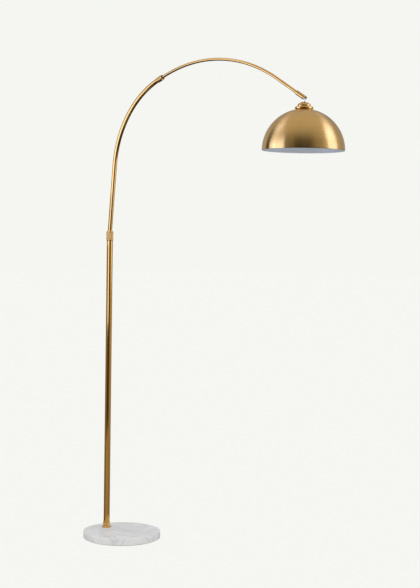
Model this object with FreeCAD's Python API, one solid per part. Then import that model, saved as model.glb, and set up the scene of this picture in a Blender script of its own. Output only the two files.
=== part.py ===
import FreeCAD, Part
import math
import os
from FreeCAD import Vector

# Arc floor lamp. Millimetres, +Z up. The origin is on the floor under the middle of the
# round base. The arm lies in the XZ plane and reaches towards +X; the pole stands behind
# the middle of the base, on the -X side.

# ---------------------------------------------------------------- base and pole
base_diameter = 279.0
slab_thickness = 23.5
slab_edge_round = 1.3
pad_thickness = 1.5
pad_inset = 4.0
recess_diameter = 44.0
roof_over_recess = 8.0
stud_hole_clearance = 1.0

pole_offset = 82.5
pole_length = 1052.0
pole_wall = 1.2

foot_diameter = 35.0
foot_height = 20.0
foot_disc_height = 2.2
foot_ferrule_wall = 1.1
foot_flare_start = 7.0

stud_diameter = 10.0
stud_bore = 7.0
stud_below_nut = 0.5
nut_across_flats = 17.0
nut_height = 5.0
lock_washer_diameter = 18.0
lock_washer_thickness = 1.0
base_washer_diameter = 36.0
base_washer_thickness = 2.0
bottom_bush_height = 16.0

# ---------------------------------------------------------------- cord inlet and lead
channel_width = 9.4
channel_height = 8.0
gland_length = 18.0
gland_nose = 3.0
gland_bore = 6.2
lead_diameter = 2.5
lead_bend_radius = 7.5
lead_end_gap = 0.5

# ---------------------------------------------------------------- swivel at the pole's top
bush_depth = 40.0
bush_wall = 1.67
bush_shoulder = 2.0
bush_neck_wall = 1.5
bush_neck_height = 24.0
thrust_washer_thickness = 1.0
shoulder_ring_wall = 1.4
shoulder_ring_height = 3.5
spigot_tail = 6.0
stop_pin_diameter = 3.0
stop_pin_end_gap = 0.5
stop_lug_height = 5.0
stop_lug_half_angle = 9.5
grommet_height = 8.0

pole_collar_wall = 2.62
pole_collar_lip = 5.0
pole_collar_flutes = 28
collar_chamfer = 2.2
collar_neck_wall = 1.3
collar_neck_height = 3.0
flute_radius = 0.9
flute_depth = 0.45

# ---------------------------------------------------------------- arm
lower_arc_diameter = 16.0
lower_arc_wall = 1.2
upper_arc_diameter = 10.0
upper_arc_wall = 1.0
lean_angle = 5.3
lean_bend_radius = 40.0
lower_straight = 235.0
lower_bend_radius = 347.0
joint_angle = 21.9
upper_bend_radius = 588.0
drop_angle = 31.1
drop_straight = 96.0

joint_lead_in = 1.0
joint_lead_out = 1.0
arc_collar_length = 25.0
arc_collar_wall = 1.2
arc_collar_flutes = 20
arc_collar_lip = 2.2
lower_arc_cover = 12.0
arc_bush_in_tube = 14.0
arc_bush_stop = 4.0
arc_bush_neck_wall = 2.0
arc_collet_wall = 1.6
arc_collet_proud = 2.2

# ---------------------------------------------------------------- end barrel and tilt joint
barrel_wall = 2.2
barrel_length = 42.0
barrel_past_pivot = 5.1
barrel_socket = 16.0
barrel_chamfer = 0.6
lead_passage = 3.8
fork_thickness = 7.4
fork_gap = 3.8
fork_head_radius = 4.6
tilt_screw_diameter = 4.0
tilt_nose_diameter = 2.8
grub_screw_diameter = 3.0
grub_screw_inset = 8.0
grub_key_diameter = 1.5

# ---------------------------------------------------------------- head
neck_diameter = 7.3
neck_below_pivot = 9.2
dome_below_pivot = 13.0
dome_diameter = 42.6
dome_height = 16.0
dome_shoulder_radius = 9.0
dome_side_height = 3.0
dome_wall = 1.2
ring_step = 3.4
ring_section_radius = 4.8
shade_diameter = 264.4
shade_wall = 1.0
lining_thickness = 0.3
stem_thread_diameter = 10.0
stem_in_holder = 13.0
shade_washer_diameter = 24.0
shade_washer_thickness = 1.5
shade_nut_height = 4.0
shade_nut_across_flats = 14.0

# ---------------------------------------------------------------- lampholder and bulb
holder_gap = 0.5
holder_cap_height = 22.0
holder_cap_top_diameter = 18.0
holder_diameter = 40.0
holder_wall = 2.2
holder_body_height = 36.0
holder_insert_drop = 3.0
holder_insert_height = 5.0
contact_diameter = 8.0
contact_height = 2.0
screw_shell_wall = 0.5
screw_shell_height = 24.0
bulb_cap_diameter = 26.2
bulb_cap_height = 24.0
bulb_tip_diameter = 10.0
bulb_tip_height = 3.0
bulb_neck_diameter = 27.0
bulb_body_height = 18.0
bulb_diameter = 45.0

# ---------------------------------------------------------------- fits
seat_clearance = 0.05
running_clearance = 0.08
free_clearance = 0.3
bulb_thread_clearance = 0.1

# ---------------------------------------------------------------- places worked out
slab_top = pad_thickness + slab_thickness
pole_x = -pole_offset
pole_top = slab_top + pole_length
recess_top = slab_top - roof_over_recess
spigot_radius = lower_arc_diameter / 2
bush_bore_radius = spigot_radius + running_clearance
pole_bore_radius = bush_bore_radius + bush_wall + seat_clearance
pole_radius = pole_bore_radius + pole_wall
bush_bottom = pole_top - bush_depth
neck_bottom = pole_top + bush_shoulder
neck_top = neck_bottom + bush_neck_height
neck_radius = bush_bore_radius + bush_neck_wall
ring_bottom = neck_top + thrust_washer_thickness + seat_clearance
ring_top = ring_bottom + shoulder_ring_height
collar_top = ring_top + free_clearance + pole_collar_lip
spigot_bottom = bush_bottom - spigot_tail
stop_pin_height = bush_bottom - free_clearance - stop_pin_diameter / 2
upper_arc_radius = upper_arc_diameter / 2
barrel_radius = upper_arc_radius + seat_clearance + barrel_wall
lead_radius = lead_diameter / 2


# ---------------------------------------------------------------- helpers
def cylinder(radius, bottom, top, x=0.0):
    return Part.makeCylinder(radius, top - bottom, Vector(x, 0, bottom))


def sleeve(outer_radius, inner_radius, bottom, top, x=0.0):
    return cylinder(outer_radius, bottom, top, x).cut(cylinder(inner_radius, bottom, top, x))


def hexagon(across_flats, bore_radius, bottom, top, x=0.0):
    corner = across_flats / math.sqrt(3)
    points = []
    for step in range(7):
        turn = math.radians(60 * step)
        points.append(Vector(x + corner * math.cos(turn), corner * math.sin(turn), bottom))
    block = Part.Face(Part.makePolygon(points)).extrude(Vector(0, 0, top - bottom))
    return block.cut(cylinder(bore_radius, bottom, top, x))


def turned(outline, x=0.0):
    """Solid of revolution. An outline entry is (r, z) for a straight step, or
    ((r, z), (r, z)) for an arc through the first point to the second."""
    first = Vector(x + outline[0][0], 0, outline[0][1])
    here = first
    edges = []
    for step in outline[1:]:
        if isinstance(step[0], tuple):
            middle = Vector(x + step[0][0], 0, step[0][1])
            there = Vector(x + step[1][0], 0, step[1][1])
            edges.append(Part.Arc(here, middle, there).toShape())
        else:
            there = Vector(x + step[0], 0, step[1])
            edges.append(Part.LineSegment(here, there).toShape())
        here = there
    edges.append(Part.LineSegment(here, first).toShape())
    face = Part.Face(Part.Wire(edges))
    return face.revolve(Vector(x, 0, 0), Vector(0, 0, 1), 360)


def on_arc(centre, radius, degrees):
    turn = math.radians(degrees)
    return (centre[0] + radius * math.cos(turn), centre[1] + radius * math.sin(turn))


def fluted(shape, radius, count, bottom, top, x=0.0):
    """Cuts straight grip flutes into the outside of a collar."""
    for step in range(count):
        turn = 2 * math.pi * (step + 0.5) / count
        reach = radius + flute_radius - flute_depth
        place = Vector(x + reach * math.cos(turn), reach * math.sin(turn), bottom)
        shape = shape.cut(Part.makeCylinder(flute_radius, top - bottom, place))
    return shape


def save(name, shape):
    shape.exportStep("parts/" + name + ".step")


# ---------------------------------------------------------------- the arm's centreline
class Route:
    """A plane line of straight runs and tangent arcs in the XZ plane."""

    def __init__(self, point, angle):
        self.point = point
        self.angle = angle
        self.start = point
        self.start_angle = angle
        self.edges = []

    def heading(self):
        turn = math.radians(self.angle)
        return Vector(math.cos(turn), 0, math.sin(turn))

    def straight(self, length):
        there = self.point + self.heading() * length
        self.edges.append(Part.LineSegment(self.point, there).toShape())
        self.point = there
        return self

    def bend_down(self, radius, angle):
        """Turns clockwise, seen from -Y, until the line climbs at this angle."""
        turn = math.radians(self.angle)
        centre = self.point + Vector(math.sin(turn), 0, -math.cos(turn)) * radius
        ends = []
        for degrees in ((self.angle + angle) / 2, angle):
            turn = math.radians(degrees)
            ends.append(centre + Vector(-math.sin(turn), 0, math.cos(turn)) * radius)
        self.edges.append(Part.Arc(self.point, ends[0], ends[1]).toShape())
        self.point = ends[1]
        self.angle = angle
        return self

    def rod(self, radius):
        turn = math.radians(self.start_angle)
        along = Vector(math.cos(turn), 0, math.sin(turn))
        ring = Part.Wire(Part.makeCircle(radius, self.start, along))
        return Part.Wire(self.edges).makePipeShell([ring], True, True)


def at_station(shape, point, angle):
    """Lays a shape that was made along +Z onto the arm, at a point and a climb angle."""
    shape = shape.copy()
    shape.rotate(Vector(0, 0, 0), Vector(0, 1, 0), 90 - angle)
    shape.translate(point)
    return shape


lean_start = Vector(pole_x, 0, collar_top + collar_neck_height)


def lower_route(from_height, past_joint_start):
    """The lower arc's centreline, up to a distance along the straight joint."""
    route = Route(Vector(pole_x, 0, from_height), 90)
    route.straight(lean_start.z - from_height)
    route.bend_down(lean_bend_radius, 90 - lean_angle)
    route.straight(lower_straight)
    route.bend_down(lower_bend_radius, joint_angle)
    joint_start = route.point
    route.straight(past_joint_start)
    return route, joint_start


joint_start = lower_route(spigot_bottom, 1.0)[1]
joint_length = joint_lead_in + arc_collar_length + joint_lead_out
joint_turn = math.radians(joint_angle)
joint_axis = Vector(math.cos(joint_turn), 0, math.sin(joint_turn))
lower_arc_end = joint_lead_in + lower_arc_cover
arc_bush_start = lower_arc_end - arc_bush_in_tube
upper_arc_start = arc_bush_start + arc_bush_stop
arc_collar_end = joint_lead_in + arc_collar_length
arc_bush_end = arc_collar_end - arc_collar_lip - free_clearance


def upper_route(start_along_joint, end_trim):
    """The upper arc's centreline, which stops a distance short of the pivot."""
    route = Route(joint_start + joint_axis * start_along_joint, joint_angle)
    route.straight(joint_length - start_along_joint)
    route.bend_down(upper_bend_radius, -drop_angle)
    to_pivot = drop_straight + barrel_length - barrel_past_pivot
    route.straight(to_pivot - end_trim)
    return route


pivot = upper_route(upper_arc_start, 0.0).point
barrel_back = -(barrel_length - barrel_past_pivot)
head_x = pivot.x
dome_top = pivot.z - dome_below_pivot
dome_base = dome_top - dome_height
shade_radius = shade_diameter / 2
ring_radius = dome_diameter / 2 + ring_step
ring_centre = dome_base - math.sqrt(ring_section_radius ** 2 - ring_step ** 2)
ring_seat = ring_centre - ring_section_radius
rim_height = ring_seat - math.sqrt(shade_radius ** 2 - ring_radius ** 2)
shade_inner_radius = shade_radius - shade_wall
washer_radius = shade_washer_diameter / 2
washer_top = rim_height + math.sqrt(shade_inner_radius ** 2 - washer_radius ** 2)
washer_bottom = washer_top - shade_washer_thickness
shade_nut_bottom = washer_bottom - shade_nut_height
holder_top = shade_nut_bottom - holder_gap
holder_joint = holder_top - holder_cap_height
holder_bottom = holder_joint - holder_body_height
insert_top = holder_joint - holder_insert_drop
insert_bottom = insert_top - holder_insert_height
contact_bottom = insert_bottom - contact_height
stem_bottom = holder_top - stem_in_holder
screw_shell_radius = bulb_cap_diameter / 2 + bulb_thread_clearance
stem_thread_radius = stem_thread_diameter / 2


# ---------------------------------------------------------------- base
def base_slab():
    slab = cylinder(base_diameter / 2, pad_thickness, slab_top)
    rims = [edge for edge in slab.Edges if abs(edge.Length - math.pi * base_diameter) < 1e-3]
    slab = slab.makeFillet(slab_edge_round, rims)
    slab = slab.cut(cylinder(recess_diameter / 2, pad_thickness, recess_top, pole_x))
    hole_radius = stud_diameter / 2 + stud_hole_clearance
    slab = slab.cut(cylinder(hole_radius, recess_top, slab_top, pole_x))
    length = base_diameter / 2 - pole_offset
    corner = Vector(pole_x - length, -channel_width / 2, pad_thickness)
    return slab.cut(Part.makeBox(length, channel_width, channel_height, corner))


def base_pad():
    return cylinder(base_diameter / 2 - pad_inset, 0, pad_thickness)


gland_back = -base_diameter / 2 - gland_nose
gland_height = channel_height - 2 * seat_clearance
gland_centre = pad_thickness + channel_height / 2


def cord_gland():
    width = channel_width - 2 * seat_clearance
    corner = Vector(gland_back, -width / 2, gland_centre - gland_height / 2)
    block = Part.makeBox(gland_length, width, gland_height, corner)
    mouth = Vector(gland_back, 0, gland_centre)
    return block.cut(Part.makeCylinder(gland_bore / 2, gland_length, mouth, Vector(1, 0, 0)))


washer_under = recess_top - base_washer_thickness
lock_washer_under = washer_under - lock_washer_thickness
nut_under = lock_washer_under - nut_height
stud_bottom = nut_under - stud_below_nut
stud_top = slab_top + bottom_bush_height
stud_fit_radius = stud_diameter / 2 + seat_clearance


def base_washer():
    return sleeve(base_washer_diameter / 2, stud_fit_radius, washer_under, recess_top, pole_x)


def base_lock_washer():
    return sleeve(lock_washer_diameter / 2, stud_fit_radius, lock_washer_under, washer_under, pole_x)


def base_nut():
    return hexagon(nut_across_flats, stud_fit_radius, nut_under, lock_washer_under, pole_x)


def base_stud():
    return sleeve(stud_diameter / 2, stud_bore / 2, stud_bottom, stud_top, pole_x)


# ---------------------------------------------------------------- pole
def pole_bottom_bush():
    outer_radius = pole_bore_radius - seat_clearance
    return sleeve(outer_radius, stud_fit_radius, slab_top, stud_top, pole_x)


def pole():
    return sleeve(pole_radius, pole_bore_radius, slab_top, pole_top, pole_x)


def pole_foot():
    inner = pole_radius + seat_clearance
    ferrule = inner + foot_ferrule_wall
    disc = foot_diameter / 2
    flare_bottom = slab_top + foot_disc_height
    flare_top = flare_bottom + foot_flare_start
    flare_middle = (ferrule + 0.2 * (disc - ferrule), flare_bottom + 0.3 * foot_flare_start)
    outline = [
        (inner, slab_top),
        (disc, slab_top),
        (disc, flare_bottom - 0.6),
        (disc - 0.6, flare_bottom),
        (flare_middle, (ferrule, flare_top)),
        (ferrule, slab_top + foot_height - 0.5),
        (ferrule - 0.5, slab_top + foot_height),
        (inner, slab_top + foot_height),
    ]
    return turned(outline, pole_x)


def pole_top_bush():
    outline = [
        (bush_bore_radius, bush_bottom),
        (pole_bore_radius - seat_clearance, bush_bottom),
        (pole_bore_radius - seat_clearance, pole_top),
        (pole_radius, pole_top),
        (pole_radius, neck_bottom),
        (neck_radius, neck_bottom),
        (neck_radius, neck_top),
        (bush_bore_radius, neck_top),
    ]
    lug_inner = spigot_radius + free_clearance
    lug_bottom = bush_bottom - stop_lug_height
    lug = sleeve(pole_bore_radius - seat_clearance, lug_inner, lug_bottom, bush_bottom, pole_x)
    reach = 2 * pole_radius
    half_width = reach * math.tan(math.radians(stop_lug_half_angle))
    corners = [(0, 0), (reach, -half_width), (reach, half_width), (0, 0)]
    points = [Vector(pole_x + across, side, lug_bottom) for across, side in corners]
    wedge = Part.Face(Part.makePolygon(points)).extrude(Vector(0, 0, stop_lug_height))
    return turned(outline, pole_x).fuse(lug.common(wedge)).removeSplitter()


def thrust_washer():
    inner = bush_bore_radius
    return sleeve(neck_radius, inner, neck_top, neck_top + thrust_washer_thickness, pole_x)


def pole_collar():
    bottom = neck_bottom + free_clearance
    thread = neck_radius + free_clearance
    radius = thread + pole_collar_wall
    lip_under = collar_top - pole_collar_lip
    mouth = spigot_radius + free_clearance
    neck = mouth + collar_neck_wall
    outline = [
        (thread, bottom),
        (radius - 0.8, bottom),
        (radius, bottom + 0.8),
        (radius, collar_top - collar_chamfer),
        (radius - collar_chamfer, collar_top),
        (neck, collar_top),
        (neck, collar_top + collar_neck_height - 0.4),
        (neck - 0.4, collar_top + collar_neck_height),
        (mouth, collar_top + collar_neck_height),
        (mouth, lip_under),
        (thread, lip_under),
    ]
    body = turned(outline, pole_x)
    flute_bottom = bottom + 2 * flute_depth + 2.0
    flute_top = collar_top - collar_chamfer - 2.0
    return fluted(body, radius, pole_collar_flutes, flute_bottom, flute_top, pole_x)


# ---------------------------------------------------------------- arm
def lower_arc():
    route = lower_route(spigot_bottom, lower_arc_end)[0]
    tube = route.rod(spigot_radius).cut(route.rod(spigot_radius - lower_arc_wall))
    start = Vector(pole_x, 0, stop_pin_height)
    hole = Part.makeCylinder(stop_pin_diameter / 2, spigot_radius * 2, start, Vector(-1, 0, 0))
    return tube.cut(hole)


def arm_shoulder_ring():
    outer_radius = spigot_radius + shoulder_ring_wall
    return sleeve(outer_radius, spigot_radius, ring_bottom, ring_top, pole_x)


def swivel_stop_pin():
    start = Vector(pole_x - spigot_radius + lower_arc_wall, 0, stop_pin_height)
    length = pole_bore_radius - spigot_radius + lower_arc_wall - stop_pin_end_gap
    return Part.makeCylinder(stop_pin_diameter / 2, length, start, Vector(-1, 0, 0))


def spigot_grommet():
    outer_radius = spigot_radius - lower_arc_wall - seat_clearance
    bore = lead_radius + running_clearance
    top = spigot_bottom + grommet_height
    return sleeve(outer_radius, bore, spigot_bottom, top, pole_x)


def arc_bush():
    tube_bore = spigot_radius - lower_arc_wall - seat_clearance
    socket = upper_arc_radius + seat_clearance
    outline = [
        (upper_arc_radius - upper_arc_wall, arc_bush_start),
        (tube_bore, arc_bush_start),
        (tube_bore, lower_arc_end),
        (socket + arc_bush_neck_wall, lower_arc_end),
        (socket + arc_bush_neck_wall, arc_bush_end),
        (socket, arc_bush_end),
        (socket, upper_arc_start),
        (upper_arc_radius - upper_arc_wall, upper_arc_start),
    ]
    return at_station(turned(outline), joint_start, joint_angle)


def arc_collet():
    inner = upper_arc_radius + seat_clearance
    end = arc_collar_end + arc_collet_proud
    ring = sleeve(inner + arc_collet_wall, inner, arc_bush_end, end)
    return at_station(ring, joint_start, joint_angle)


def arc_collar():
    over_tube = spigot_radius + free_clearance
    over_neck = upper_arc_radius + seat_clearance + arc_bush_neck_wall + free_clearance
    radius = max(over_tube, over_neck) + arc_collar_wall
    mouth = upper_arc_radius + seat_clearance + arc_collet_wall + free_clearance
    step = lower_arc_end + free_clearance
    lip = arc_collar_end - arc_collar_lip
    outline = [
        (over_tube, joint_lead_in),
        (radius - 0.5, joint_lead_in),
        (radius, joint_lead_in + 0.5),
        (radius, arc_collar_end - 1.0),
        (radius - 1.0, arc_collar_end),
        (mouth, arc_collar_end),
        (mouth, lip),
        (over_neck, lip),
        (over_neck, step),
        (over_tube, step),
    ]
    body = turned(outline)
    body = fluted(body, radius, arc_collar_flutes, joint_lead_in + 3.0, arc_collar_end - 5.0)
    return at_station(body, joint_start, joint_angle)


def upper_arc():
    socket_bottom = barrel_length - barrel_past_pivot - barrel_socket
    route = upper_route(upper_arc_start, socket_bottom)
    return route.rod(upper_arc_radius).cut(route.rod(upper_arc_radius - upper_arc_wall))


# ---------------------------------------------------------------- end barrel
def slot_depth():
    return fork_head_radius + free_clearance


def end_barrel():
    """Made along +Z with the pivot at the origin and its underside on the +X side."""
    radius = barrel_radius
    body = turned([
        (0, barrel_back),
        (radius - barrel_chamfer, barrel_back),
        (radius, barrel_back + barrel_chamfer),
        (radius, barrel_past_pivot - barrel_chamfer),
        (radius - barrel_chamfer, barrel_past_pivot),
        (0, barrel_past_pivot),
    ])
    socket_radius = upper_arc_radius + seat_clearance
    body = body.cut(cylinder(socket_radius, barrel_back, barrel_back + barrel_socket))
    body = body.cut(cylinder(lead_passage / 2, barrel_back, barrel_past_pivot))
    half = fork_thickness / 2 + free_clearance
    back = slot_depth()
    corner = Vector(-back, -half, -back)
    slot = Part.makeBox(back + radius, 2 * half, back + barrel_past_pivot, corner)
    body = body.cut(slot)
    side = Vector(0, -radius, 0)
    body = body.cut(Part.makeCylinder(tilt_screw_diameter / 2, 2 * radius, side, Vector(0, 1, 0)))
    grub = Vector(0, 0, barrel_back + grub_screw_inset)
    body = body.cut(Part.makeCylinder(grub_screw_diameter / 2, radius, grub, Vector(1, 0, 0)))
    return at_station(body, pivot, -drop_angle)


def tilt_screws():
    """Two shoulder screws, one in each ear, whose noses carry the fork."""
    half_gap = fork_gap / 2
    ear = fork_thickness / 2 + free_clearance
    length = barrel_radius - ear - 0.5
    screws = []
    for side in (1, -1):
        axis = Vector(0, side, 0)
        body = Part.makeCylinder(tilt_screw_diameter / 2, length, pivot + axis * ear, axis)
        nose_length = ear - half_gap
        nose = Part.makeCylinder(tilt_nose_diameter / 2, nose_length, pivot + axis * half_gap, axis)
        cut = pivot + axis * (ear + length - 0.8) - Vector(3, 0, 0.35)
        slot = Part.makeBox(6, 1.6, 0.7, cut - Vector(0, 0.8 - 0.8 * side, 0))
        screws.append(body.fuse(nose).removeSplitter().cut(slot))
    return Part.makeCompound(screws)


def barrel_grub_screw():
    start = Vector(upper_arc_radius, 0, barrel_back + grub_screw_inset)
    length = barrel_radius - upper_arc_radius - 0.3
    screw = Part.makeCylinder(grub_screw_diameter / 2, length, start, Vector(1, 0, 0))
    middle = start + Vector(length / 2, 0, 0)
    key = Part.makeCylinder(grub_key_diameter / 2, length / 2, middle, Vector(1, 0, 0))
    return at_station(screw.cut(key), pivot, -drop_angle)


# ---------------------------------------------------------------- head
def head_stem():
    """Fork on the tilt screws, then the bright neck, then the thread for the shade."""
    neck_radius_seen = neck_diameter / 2
    half = fork_thickness / 2
    neck_start = pivot.z - neck_below_pivot
    across = Vector(0, 1, 0)
    disc = Part.makeCylinder(fork_head_radius, fork_thickness, pivot - across * half, across)
    corner = Vector(head_x - neck_radius_seen, -half, neck_start)
    cheeks = Part.makeBox(neck_diameter, fork_thickness, neck_below_pivot, corner)
    fork = disc.fuse(cheeks)
    gap = fork_gap / 2
    corner = Vector(head_x - fork_head_radius, -gap, neck_start)
    opening_height = neck_below_pivot + fork_head_radius
    opening = Part.makeBox(2 * fork_head_radius, fork_gap, opening_height, corner)
    fork = fork.cut(opening)
    bearing = tilt_nose_diameter / 2 + seat_clearance
    fork = fork.cut(Part.makeCylinder(bearing, fork_thickness, pivot - across * half, across))
    flange = dome_diameter / 2 - dome_wall - 4
    stem = turned([
        (0, stem_bottom),
        (stem_thread_radius, stem_bottom),
        (stem_thread_radius, dome_base),
        (flange, dome_base),
        (flange, dome_base + 2.5),
        (neck_radius_seen, dome_base + 2.5),
        (neck_radius_seen, neck_start),
        (0, neck_start),
    ], head_x)
    stem = stem.fuse(fork).removeSplitter()
    return stem.cut(cylinder(lead_passage / 2, stem_bottom, neck_start, head_x))


def dome_outline(wall):
    """Crown and shoulder arcs of the dome cap, moved in by a wall."""
    side = dome_diameter / 2
    shoulder_r = side - dome_shoulder_radius
    shoulder_z = dome_base + dome_side_height
    rise = dome_top - shoulder_z
    crown = (shoulder_r ** 2 + rise ** 2 - dome_shoulder_radius ** 2)
    crown = crown / (2 * (rise - dome_shoulder_radius))
    crown_centre = (0, dome_top - crown)
    split = math.degrees(math.atan2(shoulder_z - crown_centre[1], shoulder_r))
    crown_radius = crown - wall
    shoulder_radius = dome_shoulder_radius - wall
    shoulder_centre = (shoulder_r, shoulder_z)
    return [
        (0, dome_base),
        (side - wall, dome_base),
        (side - wall, shoulder_z),
        (on_arc(shoulder_centre, shoulder_radius, split / 2),
         on_arc(shoulder_centre, shoulder_radius, split)),
        (on_arc(crown_centre, crown_radius, (split + 90) / 2),
         on_arc(crown_centre, crown_radius, 90)),
    ]


def dome_cap():
    shell = turned(dome_outline(0), head_x).cut(turned(dome_outline(dome_wall), head_x))
    mouth = neck_diameter / 2 + seat_clearance
    return shell.cut(cylinder(mouth, dome_base, dome_top + 1, head_x))


def cap_ring():
    """Turned disc with a half-round edge and an underside that fits the shade."""
    middle = Vector(head_x, 0, ring_centre)
    edge = Part.makeTorus(ring_radius, ring_section_radius, middle, Vector(0, 0, 1))
    disc = cylinder(ring_radius, ring_centre - ring_section_radius, dome_base, head_x)
    disc = disc.fuse(edge).removeSplitter()
    ball = Part.makeSphere(shade_radius, Vector(head_x, 0, rim_height))
    disc = disc.cut(ball)
    bore = stem_thread_radius + seat_clearance
    return disc.cut(cylinder(bore, rim_height, dome_top, head_x))


def dome_shell(outer_radius, inner_radius, hole_radius):
    centre = Vector(head_x, 0, rim_height)
    ball = Part.makeSphere(outer_radius, centre)
    shell = ball.cut(Part.makeSphere(inner_radius, centre))
    reach = 2 * outer_radius
    corner = Vector(head_x - reach, -reach, rim_height - reach)
    shell = shell.cut(Part.makeBox(2 * reach, 2 * reach, reach, corner))
    return shell.cut(cylinder(hole_radius, rim_height, rim_height + reach, head_x))


def shade():
    hole = stem_thread_radius + seat_clearance
    return dome_shell(shade_radius, shade_inner_radius, hole)


def shade_lining():
    hole = washer_radius + free_clearance
    return dome_shell(shade_inner_radius, shade_inner_radius - lining_thickness, hole)


def shade_washer():
    bore = stem_thread_radius + seat_clearance
    return sleeve(washer_radius, bore, washer_bottom, washer_top, head_x)


def shade_nut():
    bore = stem_thread_radius + seat_clearance
    return hexagon(shade_nut_across_flats, bore, shade_nut_bottom, washer_bottom, head_x)


# ---------------------------------------------------------------- lampholder
def holder_cap():
    outer = holder_diameter / 2
    inner = outer - holder_wall
    bore = stem_thread_radius + seat_clearance
    boss = holder_cap_top_diameter / 2
    waist = holder_top - stem_in_holder
    cover = turned([
        (bore, holder_top),
        (boss, holder_top),
        (outer, waist),
        (outer, holder_joint),
        (inner, holder_joint),
        (inner, waist - 2),
        (boss, waist - 2),
        (boss, waist + 3),
        (bore, waist + 3),
    ], head_x)
    return cover


def holder_body():
    outer = holder_diameter / 2
    inner = outer - holder_wall
    return turned([
        (outer, holder_joint),
        (outer, holder_bottom + 1.0),
        (outer - 1.0, holder_bottom),
        (screw_shell_radius + screw_shell_wall + free_clearance, holder_bottom),
        (screw_shell_radius + screw_shell_wall + free_clearance, holder_bottom + 3.0),
        (inner, holder_bottom + 3.0),
        (inner, holder_joint),
    ], head_x)


def holder_insert():
    radius = holder_diameter / 2 - holder_wall - seat_clearance
    return sleeve(radius, lead_passage / 2, insert_bottom, insert_top, head_x)


def holder_contact():
    return cylinder(contact_diameter / 2, contact_bottom, insert_bottom, head_x)


def holder_screw_shell():
    outer = screw_shell_radius + screw_shell_wall
    bottom = insert_bottom - screw_shell_height
    return sleeve(outer, screw_shell_radius, bottom, insert_bottom, head_x)


# ---------------------------------------------------------------- bulb
bulb_top = contact_bottom - free_clearance
bulb_cap_top = bulb_top - bulb_tip_height
bulb_cap_bottom = bulb_top - bulb_cap_height
bulb_body_bottom = bulb_cap_bottom - bulb_body_height
globe_half = bulb_diameter / 2
globe_neck_rise = 0.45 * globe_half
globe_centre = bulb_body_bottom - globe_neck_rise
globe_neck_radius = math.sqrt(globe_half ** 2 - globe_neck_rise ** 2)


def bulb_cap():
    radius = bulb_cap_diameter / 2
    tip = bulb_tip_diameter / 2
    return turned([
        (0, bulb_top),
        (tip, bulb_top),
        (radius - 1.5, bulb_cap_top),
        (radius, bulb_cap_top - 1.5),
        (radius, bulb_cap_bottom),
        (0, bulb_cap_bottom),
    ], head_x)


def bulb_body():
    return turned([
        (0, bulb_cap_bottom),
        (bulb_neck_diameter / 2, bulb_cap_bottom),
        (bulb_neck_diameter / 2, bulb_cap_bottom - 2),
        (globe_neck_radius, bulb_body_bottom),
        (0, bulb_body_bottom),
    ], head_x)


def bulb_globe():
    centre = (0, globe_centre)
    neck_angle = math.degrees(math.atan2(globe_neck_rise, globe_neck_radius))
    return turned([
        (0, bulb_body_bottom),
        (globe_neck_radius, bulb_body_bottom),
        (on_arc(centre, globe_half, (neck_angle - 90) / 2), on_arc(centre, globe_half, -90)),
    ], head_x)


# ---------------------------------------------------------------- internal lead
def pole_lead():
    start = Vector(gland_back + gland_length, 0, gland_centre)
    corner_x = pole_x - lead_bend_radius
    run = Part.LineSegment(start, Vector(corner_x, 0, gland_centre)).toShape()
    centre = (corner_x, gland_centre + lead_bend_radius)
    middle = on_arc(centre, lead_bend_radius, -45)
    bend_top = Vector(pole_x, 0, centre[1])
    bend = Part.Arc(Vector(corner_x, 0, gland_centre), Vector(middle[0], 0, middle[1]), bend_top)
    rise = Part.LineSegment(bend_top, Vector(pole_x, 0, spigot_bottom - lead_end_gap)).toShape()
    ring = Part.Wire(Part.makeCircle(lead_radius, start, Vector(1, 0, 0)))
    return Part.Wire([run, bend.toShape(), rise]).makePipeShell([ring], True, True)


def arm_lead():
    route = lower_route(spigot_bottom, joint_length)[0]
    route.bend_down(upper_bend_radius, -drop_angle)
    to_pivot = drop_straight + barrel_length - barrel_past_pivot
    route.straight(to_pivot - fork_head_radius + free_clearance)
    return route.rod(lead_radius)


def head_lead():
    return cylinder(lead_radius, insert_bottom, pivot.z, head_x)


os.makedirs("parts", exist_ok=True)
for make in (
    base_slab, base_pad, base_nut, base_lock_washer, base_washer, base_stud, cord_gland,
    pole_bottom_bush, pole, pole_foot, pole_top_bush, thrust_washer, pole_collar,
    lower_arc, arm_shoulder_ring, swivel_stop_pin, spigot_grommet, arc_bush, arc_collet,
    arc_collar, upper_arc, end_barrel, tilt_screws, barrel_grub_screw,
    head_stem, dome_cap, cap_ring, shade, shade_lining, shade_washer, shade_nut,
    holder_cap, holder_body, holder_insert, holder_contact, holder_screw_shell,
    bulb_cap, bulb_body, bulb_globe, pole_lead, arm_lead, head_lead,
):
    save(make.__name__, make())

print("pivot", round(pivot.x, 2), round(pivot.z, 2))
print("rim height", round(rim_height, 2), "collar top", round(collar_top + collar_neck_height, 2))
print("joint start", round(joint_start.x, 2), round(joint_start.z, 2))
print("lead bends", lead_bend_radius, lean_bend_radius, lower_bend_radius, upper_bend_radius)
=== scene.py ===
import math

import bpy
from mathutils import Matrix, Vector


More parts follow.
